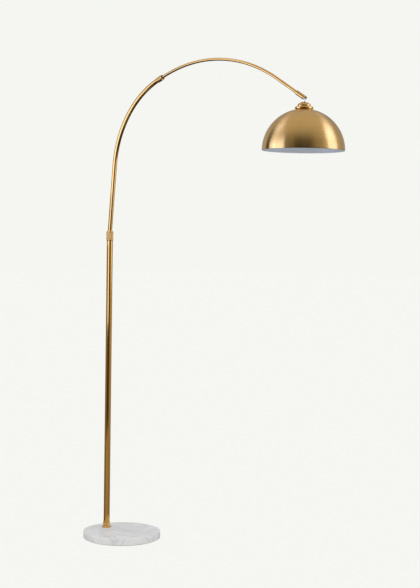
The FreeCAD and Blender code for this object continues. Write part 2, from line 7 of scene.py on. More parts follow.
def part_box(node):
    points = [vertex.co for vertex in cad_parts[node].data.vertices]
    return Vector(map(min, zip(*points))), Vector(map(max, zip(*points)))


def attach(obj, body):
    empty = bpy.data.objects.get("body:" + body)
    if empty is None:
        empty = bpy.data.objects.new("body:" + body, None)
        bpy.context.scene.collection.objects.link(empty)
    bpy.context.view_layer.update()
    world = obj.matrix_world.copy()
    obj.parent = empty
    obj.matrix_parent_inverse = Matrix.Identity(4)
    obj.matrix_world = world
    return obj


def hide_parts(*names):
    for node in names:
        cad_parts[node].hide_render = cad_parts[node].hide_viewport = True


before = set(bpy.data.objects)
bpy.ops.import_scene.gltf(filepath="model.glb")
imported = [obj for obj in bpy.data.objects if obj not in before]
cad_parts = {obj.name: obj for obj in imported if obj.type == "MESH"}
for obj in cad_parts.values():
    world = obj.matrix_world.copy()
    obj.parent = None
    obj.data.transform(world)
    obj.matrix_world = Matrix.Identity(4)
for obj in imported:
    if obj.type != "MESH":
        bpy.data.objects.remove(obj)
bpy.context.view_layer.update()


# ---------------------------------------------------------------- places in the frame
UP = Vector((0, 0, 1))


def middle(node):
    low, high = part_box(node)
    return (low + high) / 2


def mm(value):
    """Millimetres in the frame's metres."""
    return value / 1000


def level_axes(degrees):
    """The level directions to the right and ahead of someone who faces a bearing."""
    bearing = math.radians(degrees)
    right = Vector((math.cos(bearing), math.sin(bearing), 0))
    ahead = Vector((-math.sin(bearing), math.cos(bearing), 0))
    return right, ahead


POLE_X = middle("pole").x
HEAD_X = middle("shade").x


def deselect():
    bpy.ops.object.select_all(action="DESELECT")


def pick(piece):
    deselect()
    piece.select_set(True)
    bpy.context.view_layer.objects.active = piece


# ---------------------------------------------------------------- camera
# Angles are in degrees, and places in metres from the base's middle.
CAMERA_BEARING = 43
CAMERA_PAN = 43.022
CAMERA_TILT = 2.484
CAMERA_ROLL = 0.860
CAMERA_BACK = 4.7379
CAMERA_ASIDE = 0.31005
CAMERA_HEIGHT = 1.0972
LENS = 53.55
SENSOR_HEIGHT = 24


def set_camera():
    tilt = math.radians(CAMERA_TILT)
    roll = math.radians(CAMERA_ROLL)
    aside, forward = level_axes(CAMERA_BEARING)
    place = forward * -CAMERA_BACK + aside * CAMERA_ASIDE + UP * CAMERA_HEIGHT
    level_right, level_ahead = level_axes(CAMERA_PAN)
    ahead = level_ahead * math.cos(tilt) - UP * math.sin(tilt)
    top = UP * math.cos(tilt) + level_ahead * math.sin(tilt)
    right = level_right * math.cos(roll) + top * math.sin(roll)
    top = top * math.cos(roll) - level_right * math.sin(roll)
    data = bpy.data.cameras.new("studio_camera")
    data.sensor_fit = "VERTICAL"
    data.sensor_height = SENSOR_HEIGHT
    data.lens = LENS
    data.clip_end = 100
    camera = bpy.data.objects.new("studio_camera", data)
    bpy.context.scene.collection.objects.link(camera)
    columns = Matrix((right, top, -ahead)).transposed().to_4x4()
    camera.matrix_world = Matrix.Translation(place) @ columns
    bpy.context.scene.camera = camera


set_camera()


# ---------------------------------------------------------------- finishes
class Nodes:
    """The nodes of a material or of the world, and short ways to add and join them."""

    def __init__(self, owner):
        owner.use_nodes = True
        self.nodes = owner.node_tree.nodes
        self.links = owner.node_tree.links

    def put(self, socket, value):
        """Joins a socket to another one, or gives it a value of its own."""
        if isinstance(value, bpy.types.NodeSocket):
            self.links.new(value, socket)
        else:
            socket.default_value = value

    def add(self, kind, **sockets):
        node = self.nodes.new("ShaderNode" + kind)
        for name, value in sockets.items():
            self.put(node.inputs[name.replace("_", " ")], value)
        return node

    def combine(self, operation, first, second):
        node = self.add("Math", Value=first)
        node.operation = operation
        self.put(node.inputs[1], second)
        return node.outputs[0]

    def between(self, value, low, high, from_low=0.3, from_high=0.7):
        """Spreads a value over low to high."""
        node = self.add(
            "MapRange", Value=value, From_Min=from_low, From_Max=from_high, To_Min=low,
            To_Max=high)
        return node.outputs[0]

    def blend(self, value, stops, curve="LINEAR"):
        """Turns a value into a colour, by stops of (value, colour)."""
        node = self.add("ValToRGB", Fac=value)
        ramp = node.color_ramp
        ramp.interpolation = curve
        while len(ramp.elements) < len(stops):
            ramp.elements.new(0.5)
        for element, (place, colour) in zip(ramp.elements, stops):
            element.position = place
            element.color = (*colour, 1)
        return node.outputs["Color"]

    def mix(self, share, first, second):
        """Goes from the first colour to the second as the share grows."""
        node = self.add("Mix")
        node.data_type = "RGBA"
        self.put(node.inputs["Factor"], share)
        self.put(node.inputs["A"], first)
        self.put(node.inputs["B"], second)
        return node.outputs["Result"]


class Finish(Nodes):
    """A material of the object, with its patterns laid on the pieces themselves."""

    def __init__(self, name):
        self.material = bpy.data.materials.new(name)
        super().__init__(self.material)
        self.shader = self.nodes["Principled BSDF"]

    def set(self, name, value):
        self.put(self.shader.inputs[name], value)

    def place(self, stretch=(1, 1, 1), move=(0, 0, 0), tip=(0, 0, 0), kind="Object"):
        """Coordinates for a pattern, stretched, moved and tipped."""
        where = self.add("TexCoord").outputs[kind]
        moved = self.add("Mapping", Vector=where, Scale=stretch, Location=move, Rotation=tip)
        return moved.outputs[0]

    def noise(self, where, scale, detail=3.0, rough=0.5):
        node = self.add("TexNoise", Vector=where, Scale=scale, Detail=detail, Roughness=rough)
        return node.outputs["Fac"]

    def bump(self, height, strength, depth):
        node = self.add("Bump", Height=height, Strength=strength, Distance=depth)
        self.set("Normal", node.outputs[0])


# Lines of polish: their coordinates, stretch and grain. Round lines follow a tube's own
# UV map, and height lines are thin rings, one above the other.
ROUND_LINES = ("UV", (1, 40, 1), 60)
HEIGHT_LINES = ("Object", (0.02, 0.02, 1), 2400)
CLOUD_GRAIN = 9.0
SPUN_ROUND = 0.25
LACQUER_ROUGHNESS = 0.12


def metal(name, light, dark, smooth, rough, lines_from=HEIGHT_LINES, spin=0.0, coat=0.0):
    """A metal with fine lines of polish, slow changes of tone and a clear lacquer."""
    f = Finish(name)
    kind, stretch, grain = lines_from
    where = f.place(stretch, kind=kind)
    lines = f.noise(where, grain, 3.0, 0.6)
    streaks = f.noise(where, grain * 0.1, 2.0)
    clouds = f.noise(f.place(), CLOUD_GRAIN, 3.0)
    tone = f.combine("ADD", clouds, streaks)
    share = f.between(tone, 0, 1, 0.6, 1.4)
    f.set("Metallic", 1.0)
    f.set("Base Color", f.blend(share, [(0, dark), (1, light)]))
    f.set("Roughness", f.between(lines, smooth, rough))
    f.set("Anisotropic", spin)
    if spin:
        tangent = f.add("Tangent")
        tangent.direction_type = "RADIAL"
        tangent.axis = "Z"
        f.set("Tangent", tangent.outputs[0])
        f.set("Anisotropic Rotation", SPUN_ROUND)
    f.set("Coat Weight", coat)
    f.set("Coat Roughness", LACQUER_ROUGHNESS)
    return f.material


brushed_tube = metal(
    "brushed_brass_tube", light=(0.70, 0.365, 0.072), dark=(0.63, 0.315, 0.056),
    smooth=0.1, rough=0.15, lines_from=ROUND_LINES, coat=0.4)
arc_tube = metal(
    "brushed_brass_arc", light=(0.82, 0.455, 0.105), dark=(0.75, 0.40, 0.085),
    smooth=0.09, rough=0.14, lines_from=ROUND_LINES, coat=0.5)
brushed_part = metal(
    "brushed_brass", light=(0.82, 0.46, 0.115), dark=(0.74, 0.39, 0.09),
    smooth=0.1, rough=0.15, lines_from=ROUND_LINES, coat=0.4)
polished_part = metal(
    "polished_brass", light=(0.86, 0.53, 0.17), dark=(0.80, 0.47, 0.14),
    smooth=0.07, rough=0.12, lines_from=ROUND_LINES, coat=0.3)
turned_brass = metal(
    "turned_brass", light=(0.74, 0.41, 0.10), dark=(0.66, 0.35, 0.08),
    smooth=0.1, rough=0.16, coat=0.4)
shade_brass = metal(
    "brass_shade", light=(0.83, 0.51, 0.165), dark=(0.73, 0.44, 0.13),
    smooth=0.26, rough=0.32, spin=0.88, coat=0.1)
bright_brass = metal(
    "bright_brass", light=(0.95, 0.80, 0.50), dark=(0.92, 0.75, 0.44),
    smooth=0.08, rough=0.14, coat=0.5)
yellow_zinc = metal(
    "yellow_zinc", light=(0.62, 0.40, 0.13), dark=(0.54, 0.34, 0.10), smooth=0.2, rough=0.3)
zinc = metal(
    "zinc_steel", light=(0.44, 0.44, 0.43), dark=(0.36, 0.36, 0.37), smooth=0.28, rough=0.4)
nickel = metal(
    "bulb_nickel", light=(0.66, 0.62, 0.56), dark=(0.6, 0.56, 0.5), smooth=0.18, rough=0.28)


def plain(name, light, dark, smooth, rough, grain, bump=0.1, clouds=12.0):
    """A plastic, ceramic or coated surface: wide soft changes of tone and a fine grain."""
    f = Finish(name)
    fine = f.noise(f.place(), grain, 3.0)
    wide = f.noise(f.place(), clouds, 2.0)
    f.set("Base Color", f.blend(wide, [(0.3, dark), (0.7, light)]))
    f.set("Roughness", f.between(fine, smooth, rough))
    f.bump(fine, bump, 0.0002)
    return f.material


# The enamel itself is white; the cool blue tint of these colours is painted light, standing for
# the cool studio light on the lining.
white_enamel = plain("white_enamel", (0.73, 0.77, 0.86), (0.71, 0.75, 0.84), 0.3, 0.4, 300)
black_nylon = plain("black_nylon", (0.03, 0.03, 0.03), (0.02, 0.02, 0.02), 0.4, 0.55, 900)
white_nylon = plain("white_nylon", (0.75, 0.74, 0.7), (0.7, 0.69, 0.65), 0.4, 0.55, 900)
holder_plastic = plain("holder_plastic", (0.05, 0.05, 0.05), (0.03, 0.03, 0.03), 0.35, 0.5, 900)
ceramic = plain("ceramic_insert", (0.8, 0.78, 0.74), (0.74, 0.72, 0.68), 0.25, 0.4, 500)
bulb_plastic = plain("bulb_plastic", (0.8, 0.8, 0.78), (0.76, 0.76, 0.74), 0.35, 0.5, 700)
opal = plain("opal_globe", (0.86, 0.86, 0.84), (0.83, 0.83, 0.81), 0.15, 0.25, 300)
sheath = plain("lead_sheath", (0.6, 0.6, 0.58), (0.55, 0.55, 0.53), 0.45, 0.6, 700)
foam = plain("base_foam", (0.03, 0.03, 0.03), (0.02, 0.02, 0.02), 0.8, 0.95, 1200, 0.5)


VEIN_GREY = (0.70, 0.70, 0.73)


def add_veins(f, under, clouds, stretch, tip, grain, drift, width):
    """Draws grey veins over a colour, stronger where the clouds are, and returns the mix."""
    where = f.place(stretch, (3, 1, 0), tip)
    pattern = f.add("TexNoise", Vector=where, Scale=grain, Detail=5.0, Distortion=drift)
    line = f.blend(pattern.outputs["Fac"], [
        (0.5 - width, (0, 0, 0)), (0.5, (1, 1, 1)), (0.5 + width, (0, 0, 0))])
    strength = f.combine("MULTIPLY", line, f.between(clouds, 0.15, 0.9))
    return f.mix(strength, under, (*VEIN_GREY, 1))


def veined_marble():
    """White marble: soft grey clouds, and two sets of drifting veins, wide and hair-thin."""
    f = Finish("marble")
    clouds = f.noise(f.place(), 6.0, 4.0)
    slab = f.blend(clouds, [(0.35, (0.84, 0.84, 0.85)), (0.6, (0.92, 0.92, 0.91))])
    slab = add_veins(
        f, slab, clouds, stretch=(1, 2.4, 1.6), tip=(0.9, 0.5, 0.4), grain=4.5, drift=0.9,
        width=0.045)
    slab = add_veins(
        f, slab, clouds, stretch=(2.2, 1, 1.4), tip=(0.4, -0.8, -0.5), grain=6.0, drift=0.8,
        width=0.018)
    fine = f.noise(f.place(), 400, 2.0)
    f.set("Base Color", slab)
    f.set("Roughness", f.between(fine, 0.22, 0.3))
    return f.material


marble = veined_marble()

SLOT_FINISH = {
    "marble": marble, "base_foam": foam, "brushed_brass_tube": brushed_tube,
    "brushed_brass": turned_brass, "brass_shade": shade_brass, "bright_brass": bright_brass,
    "white_enamel": white_enamel, "zinc_steel": zinc, "black_nylon": black_nylon,
    "white_nylon": white_nylon, "holder_plastic": holder_plastic, "ceramic_insert": ceramic,
    "bulb_plastic": bulb_plastic, "bulb_nickel": nickel, "opal_globe": opal,
    "lead_sheath": sheath,
}


# ---------------------------------------------------------------- floor and studio light
BACKGROUND = (0.913, 0.921, 0.879)
FLOOR_SIZE = 60
FLOOR_PAINT = (0.02, 0.02, 0.02)
FLOOR_GLOW = 0.985


def set_stage():
    """A wide floor that glows in the background's colour and takes no shadow."""
    deselect()
    bpy.ops.mesh.primitive_plane_add(size=FLOOR_SIZE, location=(0, 0, 0))
    floor = bpy.context.object
    floor.name = "floor"
    f = Finish("pale_floor")
    f.set("Base Color", (*FLOOR_PAINT, 1))
    f.set("Roughness", 1.0)
    f.set("Specular IOR Level", 0.0)
    f.set("Emission Color", (*BACKGROUND, 1))
    f.set("Emission Strength", FLOOR_GLOW)
    floor.data.materials.append(f.material)
    floor.visible_glossy = False
    floor.visible_diffuse = False


# Brightness of the room by bearing in degrees: 0 towards the camera, positive to its right.
ROOM_BANDS = [
    (-180, 0.35), (-134, 0.55), (-127, 0.0), (-117, 0.0), (-111, 0.50), (-75, 0.32),
    (-42, 0.20), (-20, 0.03), (12, 0.06), (40, 0.32), (70, 0.60), (105, 0.60),
    (130, 0.42), (180, 0.35),
]
# Share of the ceiling in the room's light, from straight down (0) to straight up (1).
CEILING_SHARE = [(0.0, 0.0), (0.76, 0.0), (0.85, 0.75), (0.95, 1.0)]
CEILING = (0.62, 0.62, 0.68)
UNDERSIDE = (0.05, 0.05, 0.055)
# The underside fades into the room between these two heights, where -1 is straight down.
UNDERSIDE_FADE = (-0.4, -0.05)
# The soft light on marble and enamel, from below and from above, and where it changes.
SOFT_BELOW = (0.60, 0.595, 0.57)
SOFT_ABOVE = (0.93, 0.935, 0.94)
SOFT_FADE = (-0.3, 0.3)


def greys(stops):
    """Stops of (value, colour) from stops of (value, brightness)."""
    return [(place, (bright, bright, bright)) for place, bright in stops]


def set_world():
    """A banded room for the brass to show, soft light for the rest, and a plain background."""
    world = bpy.data.worlds.new("studio")
    bpy.context.scene.world = world
    sky = Nodes(world)
    sky.nodes.clear()
    where = sky.add("TexCoord").outputs["Generated"]
    to_camera = (0, 0, math.radians(90 - CAMERA_BEARING))
    turned = sky.add("Mapping", Vector=where, Rotation=to_camera).outputs[0]
    bearing = sky.add("TexGradient", Vector=turned)
    bearing.gradient_type = "RADIAL"
    band_stops = [(degrees / 360 + 0.5, bright) for degrees, bright in ROOM_BANDS]
    bands = sky.blend(bearing.outputs["Fac"], greys(band_stops), "EASE")
    height = sky.add("SeparateXYZ", Vector=where).outputs["Z"]
    overhead = sky.blend(sky.between(height, 0, 1, -1, 1), greys(CEILING_SHARE), "EASE")
    room = sky.mix(overhead, bands, (*CEILING, 1))
    room = sky.mix(sky.between(height, 0, 1, *UNDERSIDE_FADE), (*UNDERSIDE, 1), room)
    soft_share = sky.between(height, 0, 1, *SOFT_FADE)
    soft = sky.mix(soft_share, (*SOFT_BELOW, 1), (*SOFT_ABOVE, 1))
    ray = sky.add("LightPath").outputs
    lit = sky.add("Background", Color=sky.mix(ray["Is Diffuse Ray"], room, soft))
    seen = sky.add("Background", Color=(*BACKGROUND, 1))
    choice = sky.add("MixShader", Fac=ray["Is Camera Ray"])
    sky.put(choice.inputs[1], lit.outputs[0])
    sky.put(choice.inputs[2], seen.outputs[0])
    sky.add("OutputWorld", Surface=choice.outputs[0])


SOFTBOX_TINT = (1.0, 1.22, 2.3)
FLOOR_TINT = (1.0, 0.97, 0.9)


def softbox(name, across, nearer, low, high, width, glow, aim, tint=SOFTBOX_TINT):
    """A tall soft light that only shiny surfaces show. Its place and aim are metres across
    to the right of the base's middle and nearer to the camera."""
    right, ahead = level_axes(CAMERA_BEARING)
    lift = UP * ((low + high) / 2)
    place = right * across - ahead * nearer + lift
    target = right * aim[0] - ahead * aim[1] + lift
    data = bpy.data.lights.new(name, "AREA")
    data.shape = "RECTANGLE"
    data.size = width
    data.size_y = high - low
    data.energy = glow * math.pi * width * (high - low)
    data.color = tint
    light = bpy.data.objects.new(name, data)
    bpy.context.scene.collection.objects.link(light)
    light.visible_diffuse = False
    light.visible_camera = False
    facing = (target - place).to_track_quat("-Z", "Y")
    light.matrix_world = Matrix.Translation(place) @ facing.to_matrix().to_4x4()


set_stage()
set_world()
softbox(
    "softbox_left", across=-0.61, nearer=0.84, low=0.7, high=1.85, width=0.84, glow=1.5,
    aim=(0.3, 0.3))
softbox(
    "softbox_high_left", across=-0.75, nearer=0.15, low=2.3, high=3.4, width=0.8, glow=0.7,
    aim=(0.6, 0.56))
softbox(
    "softbox_high_right", across=2.1, nearer=0.4, low=2.3, high=3.4, width=1.1, glow=0.7,
    aim=(0.6, 0.56))
softbox(
    "softbox_right", across=2.7, nearer=0.78, low=0.8, high=3.2, width=1.25, glow=1.1,
    aim=(0.6, 0.56))
softbox(
    "softbox_arc", across=-0.87, nearer=0.33, low=1.25, high=1.8, width=0.5, glow=1.4,
    aim=(0.1, 0.2))
softbox(
    "softbox_low", across=0.1, nearer=1.2, low=-0.5, high=0.2, width=1.6, glow=0.38,
    aim=(0, 0), tint=FLOOR_TINT)
softbox(
    "softbox_low_stripe", across=-0.63, nearer=0.76, low=-0.5, high=0.2, width=0.3, glow=0.6,
    aim=(-0.06, -0.06), tint=FLOOR_TINT)
bpy.context.scene.view_settings.view_transform = "Standard"

# ---------------------------------------------------------------- modelling helpers
AXIS_RADIUS = mm(0.001)
MERGE = mm(0.01)
CUT_EDGE_SEGMENTS = 2
CUT_EDGE_ANGLE = 60


def name_piece(name):
    """Names the new piece and puts its place into its mesh."""
    piece = bpy.context.object
    piece.name = name
    piece.data.name = name
    bpy.ops.object.transform_apply(location=True, rotation=True, scale=True)
    return piece


def start_ring(name, radius, centre, sides, lean=0.0):
    """A ring of edges, all selected in edit mode. Lean tips its axis from +Z towards +X."""
    deselect()
    bpy.ops.mesh.primitive_circle_add(
        vertices=sides, radius=radius, location=centre, rotation=(0, lean, 0))
    piece = name_piece(name)
    bpy.ops.object.mode_set(mode="EDIT")
    bpy.ops.mesh.select_mode(type="VERT")
    bpy.ops.mesh.select_all(action="SELECT")
    return piece


def cylinder(name, radius, depth, place, sides):
    deselect()
    bpy.ops.mesh.primitive_cylinder_add(
        vertices=sides, radius=radius, depth=depth, location=place)
    return name_piece(name)


def close_up():
    """Merges seams and poles, faces the skin outwards and leaves edit mode."""
    bpy.ops.mesh.select_all(action="SELECT")
    bpy.ops.mesh.remove_doubles(threshold=MERGE)
    bpy.ops.mesh.normals_make_consistent(inside=False)
    bpy.ops.object.mode_set(mode="OBJECT")


def turn(name, x, outline, sides=96):
    """Pulls a ring from step to step round a closed outline of (radius, height)."""
    radius, height = outline[0]
    radius = max(radius, AXIS_RADIUS)
    piece = start_ring(name, radius, (0, 0, height), sides)
    shut = outline[:1] if outline[0][0] > 0 else []
    for next_radius, next_height in outline[1:] + shut:
        next_radius = max(next_radius, AXIS_RADIUS)
        rise = (0, 0, next_height - height)
        bpy.ops.mesh.extrude_region_move(TRANSFORM_OT_translate={"value": rise})
        share = next_radius / radius
        centre = (0, 0, next_height)
        bpy.ops.transform.resize(value=(share, share, 1), center_override=centre)
        radius, height = next_radius, next_height
    bpy.ops.mesh.select_all(action="SELECT")
    bpy.ops.transform.translate(value=(x, 0, 0))
    close_up()
    return piece


def arc(centre, radius, first, last, steps):
    """Points of an arc of an outline, between two angles in degrees."""
    points = []
    for step in range(steps + 1):
        angle = math.radians(first + (last - first) * step / steps)
        across = centre[0] + radius * math.cos(angle)
        points.append((across, centre[1] + radius * math.sin(angle)))
    return points


def arc_through(a, b, c, steps):
    """Points of the arc from a through b to c."""
    ax, ay, bx, by, cx, cy = *a, *b, *c
    d = 2 * (ax * (by - cy) + bx * (cy - ay) + cx * (ay - by))
    a2, b2, c2 = ax * ax + ay * ay, bx * bx + by * by, cx * cx + cy * cy
    x = (a2 * (by - cy) + b2 * (cy - ay) + c2 * (ay - by)) / d
    y = (a2 * (cx - bx) + b2 * (ax - cx) + c2 * (bx - ax)) / d
    first = math.degrees(math.atan2(ay - y, ax - x))
    halfway = (math.degrees(math.atan2(by - y, bx - x)) - first + 180) % 360 - 180
    last = first + (math.degrees(math.atan2(cy - y, cx - x)) - first) % 360
    if halfway < 0:
        last -= 360
    return arc((x, y), math.hypot(ax - x, ay - y), first, last, steps)


def apply_modifier(piece, kind, **settings):
    pick(piece)
    modifier = piece.modifiers.new("work", kind)
    for key, value in settings.items():
        setattr(modifier, key, value)
    bpy.ops.object.modifier_apply(modifier="work")


def soften(piece, width):
    """Rounds a piece's cut edges."""
    apply_modifier(
        piece, "BEVEL", width=width, segments=CUT_EDGE_SEGMENTS, limit_method="ANGLE",
        angle_limit=math.radians(CUT_EDGE_ANGLE), use_clamp_overlap=True)


def thicken(piece, wall):
    """Gives a skin a wall, on its inside."""
    apply_modifier(piece, "SOLIDIFY", thickness=wall, offset=-1, use_even_offset=True)


def carve(piece, cutter):
    """Cuts one piece out of another and removes the cutter."""
    apply_modifier(piece, "BOOLEAN", operation="DIFFERENCE", object=cutter, solver="EXACT")
    bpy.data.objects.remove(cutter)


def smooth(piece, angle=35):
    pick(piece)
    bpy.ops.object.shade_smooth_by_angle(angle=math.radians(angle))


def select_points(piece, wanted):
    """Selects the points whose place passes a test, in edit mode."""
    bpy.ops.mesh.select_all(action="DESELECT")
    bpy.ops.object.mode_set(mode="OBJECT")
    for point in piece.data.vertices:
        point.select = wanted(point.co)
    bpy.ops.object.mode_set(mode="EDIT")
    bpy.ops.mesh.select_mode(type="VERT")


def set_in_place(piece, body, slot, finish, *nodes):
    """Gives a finished piece its finish, its body and the parts it stands for."""
    piece.data.materials.clear()
    piece.data.materials.append(finish)
    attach(piece, body)
    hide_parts(*nodes)


# ---------------------------------------------------------------- grain that follows a piece
def lay_grain(piece, measure):
    """Writes a UV map of (way round, way along), in metres, from each point's place."""
    mesh = piece.data
    while mesh.uv_layers:
        mesh.uv_layers.remove(mesh.uv_layers[0])
    layer = mesh.uv_layers.new(name="grain")
    for face in mesh.polygons:
        spots = [measure(mesh.vertices[index].co) for index in face.vertices]
        widest = max(angle for angle, along, radius in spots)
        for loop, (angle, along, radius) in zip(face.loop_indices, spots):
            if widest - angle > math.pi:
                angle += 2 * math.pi
            layer.data[loop].uv = (angle * radius, along)


GRAIN_RADIUS = mm(20)


def round_axis(x):
    """Measures a turned piece: way round its axis, and height less radius as way along."""
    def measure(place):
        radius = math.hypot(place.x - x, place.y)
        return math.atan2(place.y, place.x - x), place.z - radius, GRAIN_RADIUS
    return measure


# ---------------------------------------------------------------- base and pole
def marble_base():
    """The slab: eased edges, a recess for the nut, a hole for the stud, a cord channel."""
    low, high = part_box("base_slab")
    recess_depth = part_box("base_washer")[1].z - low.z
    recess_radius = mm(22)
    stud_hole_radius = mm(6)
    stud_hole_depth = mm(30)
    channel_width = mm(9.4)
    channel_depth = mm(8)
    channel_length = POLE_X - low.x + mm(10)
    piece = cylinder(
        "marble_base", (high.x - low.x) / 2, high.z - low.z, middle("base_slab"), 240)
    bpy.ops.object.mode_set(mode="EDIT")
    bpy.ops.mesh.select_all(action="DESELECT")
    bpy.ops.mesh.select_mode(type="EDGE")
    bpy.ops.mesh.edges_select_sharp(sharpness=math.radians(60))
    bpy.ops.mesh.bevel(offset=mm(1.3), segments=6, affect="EDGES")
    bpy.ops.mesh.select_mode(type="FACE")
    bpy.ops.mesh.select_all(action="DESELECT")
    bpy.ops.object.mode_set(mode="OBJECT")
    for face in piece.data.polygons:
        face.select = abs(face.normal.z) > 0.99 and face.area > 0.01
    bpy.ops.object.mode_set(mode="EDIT")
    bpy.ops.mesh.inset(thickness=mm(2))
    close_up()
    under = (POLE_X, 0, low.z)
    carve(piece, cylinder("recess_cutter", recess_radius, 2 * recess_depth, under, 96))
    over = (POLE_X, 0, high.z)
    carve(piece, cylinder("stud_cutter", stud_hole_radius, 2 * stud_hole_depth, over, 64))
    deselect()
    bpy.ops.mesh.primitive_cube_add(
        size=1, location=(POLE_X - channel_length / 2, 0, low.z),
        scale=(channel_length, channel_width, 2 * channel_depth))
    carve(piece, name_piece("channel_cutter"))
    smooth(piece, 30)
    set_in_place(piece, "stand", "marble", marble, "base_slab")


def straight_pole():
    low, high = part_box("pole")
    radius = (high.x - low.x) / 2
    steps = 24
    piece = start_ring("pole_tube", radius, (POLE_X, 0, low.z), 96)
    rise = (high.z - low.z) / steps
    for step in range(steps):
        bpy.ops.mesh.extrude_region_move(TRANSFORM_OT_translate={"value": (0, 0, rise)})
    close_up()
    thicken(piece, mm(1.2))
    soften(piece, mm(0.3))
    lay_grain(piece, round_axis(POLE_X))
    smooth(piece)
    set_in_place(piece, "stand", "brushed_brass_tube", brushed_tube, "pole")


def foot_flange():
    """The flared foot: a thin disc, a hollow flare, and a ferrule with a beaded top."""
    low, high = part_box("pole_foot")
    disc = (high.x - low.x) / 2
    disc_edge = mm(0.6)
    bore = mm(11.05)
    ferrule = mm(12.15)
    bead = ferrule + mm(0.25)
    flare_low = low.z + mm(2.2)
    flare_high = flare_low + mm(7)
    flare_mid = (ferrule + 0.2 * (disc - ferrule), flare_low + mm(2.1))
    outline = [(bore, low.z), (disc, low.z), (disc, flare_low - disc_edge)]
    outline += arc((disc - disc_edge, flare_low - disc_edge), disc_edge, 15, 90, 5)
    outline += arc_through((disc - mm(0.9), flare_low), flare_mid, (ferrule, flare_high), 14)
    outline += [(ferrule, high.z - mm(1.6)), (bead, high.z - mm(1.4))]
    outline += [(bead, high.z - mm(0.5)), (ferrule - mm(0.2), high.z), (bore, high.z)]
    piece = turn("foot_flange", POLE_X, outline, 128)
    lay_grain(piece, round_axis(POLE_X))
    smooth(piece)
    set_in_place(piece, "stand", "brushed_brass", brushed_part, "pole_foot")


# ---------------------------------------------------------------- collars
POINTS_PER_FLUTE = 8
POLE_COLLAR_FLUTES = 28
ARC_COLLAR_FLUTES = 20
FLUTE_DEPTH = mm(0.45)
# Share of the depth at a flute's middle, and one and two points away from it.
ROUND_FLUTE = (1, 0.84, 0.26)


def press_flutes(piece, x, radius, count, bottom, top, depth, shares):
    """Pulls the points of each grip flute in towards the axis, as a round cutter would."""
    bpy.ops.object.mode_set(mode="EDIT")
    pitch = 2 * math.pi / count
    for step, share in enumerate(shares):
        offset = step * pitch / POINTS_PER_FLUTE

        def on_flute(place):
            if not bottom < place.z < top:
                return False
            if math.hypot(place.x - x, place.y) < radius - mm(0.1):
                return False
            angle = (math.atan2(place.y, place.x - x) / pitch) % 1
            away = abs(angle - 0.5) * pitch
            return abs(away - offset) < pitch / 20

        select_points(piece, on_flute)
        pull = (radius - depth * share) / radius
        middle_height = (bottom + top) / 2
        bpy.ops.transform.resize(
            value=(pull, pull, 1), center_override=(x, 0, middle_height))
    bpy.ops.object.mode_set(mode="OBJECT")


def pole_collar_grip():
    """A rolled lower lip with a groove, a fluted band, a chamfer and a short neck."""
    low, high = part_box("pole_collar")
    radius = (high.x - low.x) / 2
    neck_top = high.z
    top = neck_top - mm(3)
    mouth = mm(8.3)
    neck = mm(9.6)
    thread = mm(9.88)
    thread_top = top - mm(5)
    chamfer = mm(2.2)
    groove = radius - mm(0.3)
    flute_low = low.z + mm(2.9)
    flute_high = top - chamfer - mm(2)
    outline = [(thread, low.z), (radius - mm(0.8), low.z), (radius - mm(0.25), low.z + mm(0.2))]
    outline += [(radius, low.z + mm(0.8)), (radius, low.z + mm(1.5)), (groove, low.z + mm(1.7))]
    outline += [(groove, low.z + mm(2.1)), (radius, low.z + mm(2.3)), (radius, flute_low)]
    outline += [(radius, flute_low + mm(0.35)), (radius, flute_low + mm(0.9))]
    rows = 6
    for row in range(1, rows):
        height = flute_low + mm(0.9) + (flute_high - flute_low - mm(1.8)) * row / rows
        outline.append((radius, height))
    outline += [(radius, flute_high - mm(0.9)), (radius, flute_high - mm(0.35))]
    outline += [(radius, flute_high), (radius, top - chamfer)]
    outline += [(radius - mm(0.15), top - chamfer + mm(0.25))]
    outline += [(radius - chamfer + mm(0.2), top - mm(0.15)), (radius - chamfer, top)]
    outline += [(neck + mm(0.3), top), (neck, top + mm(0.3)), (neck, neck_top - mm(0.5))]
    outline += [(neck - mm(0.15), neck_top - mm(0.15)), (neck - mm(0.5), neck_top)]
    outline += [(mouth, neck_top), (mouth, thread_top), (thread, thread_top)]
    piece = turn("pole_collar_grip", POLE_X, outline, POLE_COLLAR_FLUTES * POINTS_PER_FLUTE)
    press_flutes(
        piece, POLE_X, radius, POLE_COLLAR_FLUTES, flute_low + mm(0.2), flute_high - mm(0.2),
        FLUTE_DEPTH, ROUND_FLUTE)
    lay_grain(piece, round_axis(POLE_X))
    smooth(piece, 40)
    set_in_place(piece, "pole_collar", "brushed_brass", brushed_part, "pole_collar")


# ---------------------------------------------------------------- arm
# The arm leans out, bends over to the joint between its tubes, and bends down to the drop.
LEAN_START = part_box("pole_collar")[1].z
LEAN_CLIMB = math.radians(90 - 5.3)
LEAN_BEND = mm(40)
LEAN_LENGTH = mm(235)
LOWER_BEND = mm(347)
JOINT_ANGLE = math.radians(21.9)
LOWER_PAST_JOINT = mm(13)
UPPER_START = mm(3)
UPPER_STRAIGHT = mm(24)
UPPER_BEND = mm(588)
DROP_ANGLE = math.radians(31.1)
DROP_LENGTH = mm(112)
LOWER_RADIUS = mm(8)
LOWER_WALL = mm(1.2)
UPPER_RADIUS = mm(5)
UPPER_WALL = mm(1)


